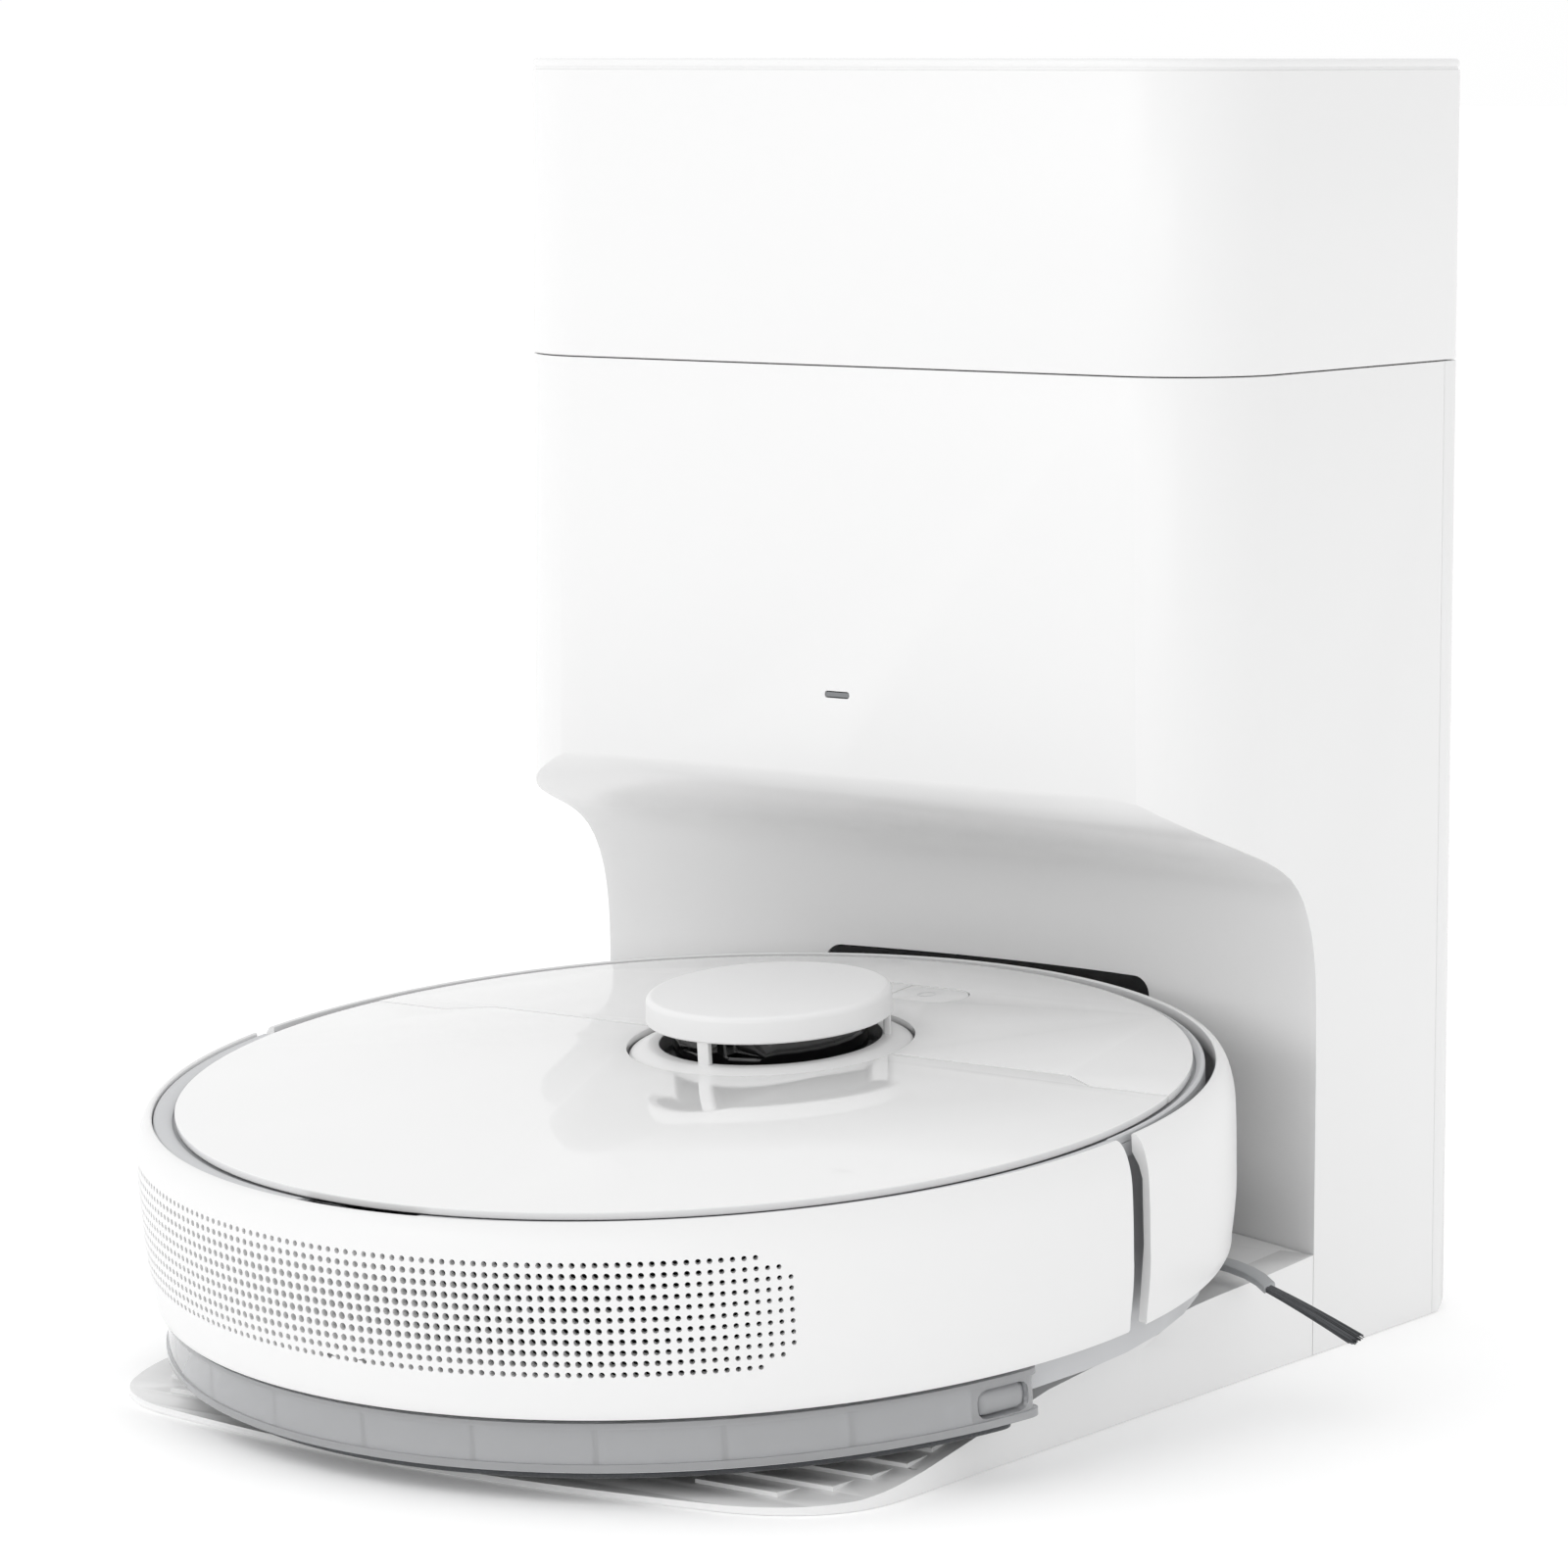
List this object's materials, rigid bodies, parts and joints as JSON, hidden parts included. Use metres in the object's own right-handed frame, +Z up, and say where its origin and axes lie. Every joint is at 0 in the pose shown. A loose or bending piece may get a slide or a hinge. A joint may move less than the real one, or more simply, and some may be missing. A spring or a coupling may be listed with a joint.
{
  "type": "robot vacuum with self-emptying dock",
  "caption": "Round robot vacuum with lidar turret, mop tank and side brush, parked nose up on the ramp of its tall self-emptying dock.",
  "frame": {"origin": "On the floor under the centre of the docked robot, on the flat underside of the dock base.", "axes": "+X to the dock's right seen from the front, +Y towards the back of the dock, +Z up. The robot drives out along -Y."},
  "size_m": [0.3824, 0.4189, 0.4217],
  "materials": {
    "shell_white": "satin moulded",
    "plate_white": "high gloss",
    "grey_plastic": "fine texture",
    "dark_plastic": "fine texture",
    "black_window": "polished",
    "smoke_plastic": "clear smoke tint",
    "soft_rubber": "matte",
    "sleeve_rubber": "matte",
    "bristle": "fine fibres",
    "contact_metal": "plated",
    "circuit_board": "solder mask",
    "filter_paper": "pleated",
    "bag_fleece": "non-woven fleece",
    "mop_cloth": "microfibre",
    "light_guide": "frosted",
    "battery_wrap": "shrink film"
  },
  "bodies": {
    "dock": {"dock_base": "shell_white", "dock_column": "shell_white", "dock_back_cover": "shell_white", "dust_bag": "bag_fleece", "dust_bag_collar": "dark_plastic", "bag_holder": "grey_plastic", "suction_duct": "dark_plastic", "inlet_seal": "soft_rubber", "dock_fan_housing": "dark_plastic", "dock_motor_filter": "filter_paper", "ir_window": "black_window", "status_light": "light_guide", "dock_circuit_board": "circuit_board", "mains_inlet": "dark_plastic", "front_pad_left": "soft_rubber", "front_pad_right": "soft_rubber", "back_pad_left": "soft_rubber", "back_pad_right": "soft_rubber"},
    "dock_lid": {"dock_top_lid": "shell_white"},
    "dock_fan": {"dock_fan_impeller": "dark_plastic"},
    "left_contact": {"contact_left": "contact_metal"},
    "right_contact": {"contact_right": "contact_metal"},
    "robot": {"chassis": "dark_plastic", "side_shell": "shell_white", "vent_liner": "dark_plastic", "deck": "grey_plastic", "front_cover": "plate_white", "turret_cage": "shell_white", "lidar_base": "dark_plastic", "brush_guard": "grey_plastic", "battery": "battery_wrap", "main_board": "circuit_board", "fan_housing": "dark_plastic", "dust_bin": "smoke_plastic", "dust_filter": "filter_paper"},
    "robot_lid": {"lid": "plate_white"},
    "lidar": {"lidar_head": "black_window"},
    "left_button": {"power_button": "plate_white"},
    "right_button": {"home_button": "plate_white"},
    "front_bumper": {"bumper": "shell_white", "bumper_window": "black_window"},
    "left_arm": {"wheel_arm_left": "dark_plastic"},
    "right_arm": {"wheel_arm_right": "dark_plastic"},
    "left_wheel": {"wheel_left": "grey_plastic", "tyre_left": "soft_rubber"},
    "right_wheel": {"wheel_right": "grey_plastic", "tyre_right": "soft_rubber"},
    "caster": {"caster_fork": "grey_plastic"},
    "caster_roller": {"caster_wheel": "soft_rubber"},
    "brush": {"main_brush": "soft_rubber"},
    "side_brush": {"side_brush_hub": "dark_plastic", "side_brush_arms": "sleeve_rubber", "outer_bristles": "bristle", "inner_bristles": "bristle"},
    "suction_fan": {"fan_impeller": "dark_plastic"},
    "tank": {"water_tank": "smoke_plastic", "mop_bracket": "grey_plastic", "mop_pad": "mop_cloth"},
    "left_latch": {"tank_latch_left": "smoke_plastic"},
    "right_latch": {"tank_latch_right": "smoke_plastic"}
  },
  "joints": [
    {"name": "dock_lid_hinge", "type": "hinge", "parent": "dock", "child": "dock_lid", "pos_m": [0, 0.246, 0.3222], "axis": [-1, 0, 0], "range_deg": [0, 80]},
    {"name": "dock_fan_spin", "type": "hinge", "parent": "dock", "child": "dock_fan", "pos_m": [0.078, 0.211, 0.08], "axis": [0, 0, 1], "continuous": true},
    {"name": "left_contact_press", "type": "slide", "parent": "dock", "child": "left_contact", "axis": [0, 0, -1], "range_m": [0, 0.002], "stiffness_N_per_m": 500, "springref_m": -0.001},
    {"name": "right_contact_press", "type": "slide", "parent": "dock", "child": "right_contact", "axis": [0, 0, -1], "range_m": [0, 0.002], "stiffness_N_per_m": 500, "springref_m": -0.001},
    {"name": "undock", "type": "slide", "parent": "dock", "child": "robot", "axis": [0, -1, 0], "range_m": [0, 0.36]},
    {"name": "robot_lid_hinge", "type": "hinge", "parent": "robot", "child": "robot_lid", "pos_m": [0, 0.0476, 0.10504], "axis": [-1, 0, 0], "range_deg": [0, 75]},
    {"name": "lidar_spin", "type": "hinge", "parent": "robot", "child": "lidar", "pos_m": [0, 0.04739, 0.10953], "axis": [0, -0.0915, 0.9958], "continuous": true},
    {"name": "power_press", "type": "slide", "parent": "robot", "child": "left_button", "axis": [0, 0.0915, -0.9958], "range_m": [0, 0.0008], "stiffness_N_per_m": 800, "springref_m": -0.0005},
    {"name": "home_press", "type": "slide", "parent": "robot", "child": "right_button", "axis": [0, 0.0915, -0.9958], "range_m": [0, 0.0008], "stiffness_N_per_m": 800, "springref_m": -0.0005},
    {"name": "bumper_press", "type": "slide", "parent": "robot", "child": "front_bumper", "axis": [0, -0.9958, -0.0915], "range_m": [0, 0.003], "stiffness_N_per_m": 500, "springref_m": -0.002},
    {"name": "left_suspension", "type": "hinge", "parent": "robot", "child": "left_arm", "pos_m": [-0.0975, 0.04317, 0.06797], "axis": [-1, 0, 0], "range_deg": [0, 5], "stiffness_Nm_per_rad": 6, "springref_deg": -5.73},
    {"name": "right_suspension", "type": "hinge", "parent": "robot", "child": "right_arm", "pos_m": [0.0975, 0.04317, 0.06797], "axis": [-1, 0, 0], "range_deg": [0, 5], "stiffness_Nm_per_rad": 6, "springref_deg": -5.73},
    {"name": "left_wheel_spin", "type": "hinge", "parent": "left_arm", "child": "left_wheel", "pos_m": [-0.112, 0.00435, 0.05336], "axis": [1, 0, 0], "continuous": true},
    {"name": "right_wheel_spin", "type": "hinge", "parent": "right_arm", "child": "right_wheel", "pos_m": [0.112, 0.00435, 0.05336], "axis": [1, 0, 0], "continuous": true},
    {"name": "caster_swivel", "type": "hinge", "parent": "robot", "child": "caster", "pos_m": [0, 0.14495, 0.05323], "axis": [0, -0.0915, 0.9958], "continuous": true},
    {"name": "caster_roll", "type": "hinge", "parent": "caster", "child": "caster_roller", "pos_m": [0, 0.14, 0.04152], "axis": [1, 0, 0], "continuous": true},
    {"name": "main_brush_spin", "type": "hinge", "parent": "robot", "child": "brush", "pos_m": [0, 0.07555, 0.05438], "axis": [1, 0, 0], "continuous": true},
    {"name": "side_brush_spin", "type": "hinge", "parent": "robot", "child": "side_brush", "pos_m": [0.104, 0.10929, 0.03689], "axis": [0, -0.0915, 0.9958], "continuous": true, "deforming": ["side_brush_arms", "outer_bristles", "inner_bristles"]},
    {"name": "suction_fan_spin", "type": "hinge", "parent": "robot", "child": "suction_fan", "pos_m": [0, -0.12431, 0.05459], "axis": [0, -0.0915, 0.9958], "continuous": true},
    {"name": "tank_slide", "type": "slide", "parent": "robot", "child": "tank", "axis": [0, -0.9958, -0.0915], "range_m": [0, 0.04]},
    {"name": "left_latch_press", "type": "slide", "parent": "tank", "child": "left_latch", "axis": [0.9336, 0.3569, 0.0328], "range_m": [0, 0.0025], "stiffness_N_per_m": 400, "springref_m": -0.001},
    {"name": "right_latch_press", "type": "slide", "parent": "tank", "child": "right_latch", "axis": [-0.9336, 0.3569, 0.0328], "range_m": [0, 0.0025], "stiffness_N_per_m": 400, "springref_m": -0.001}
  ]
}
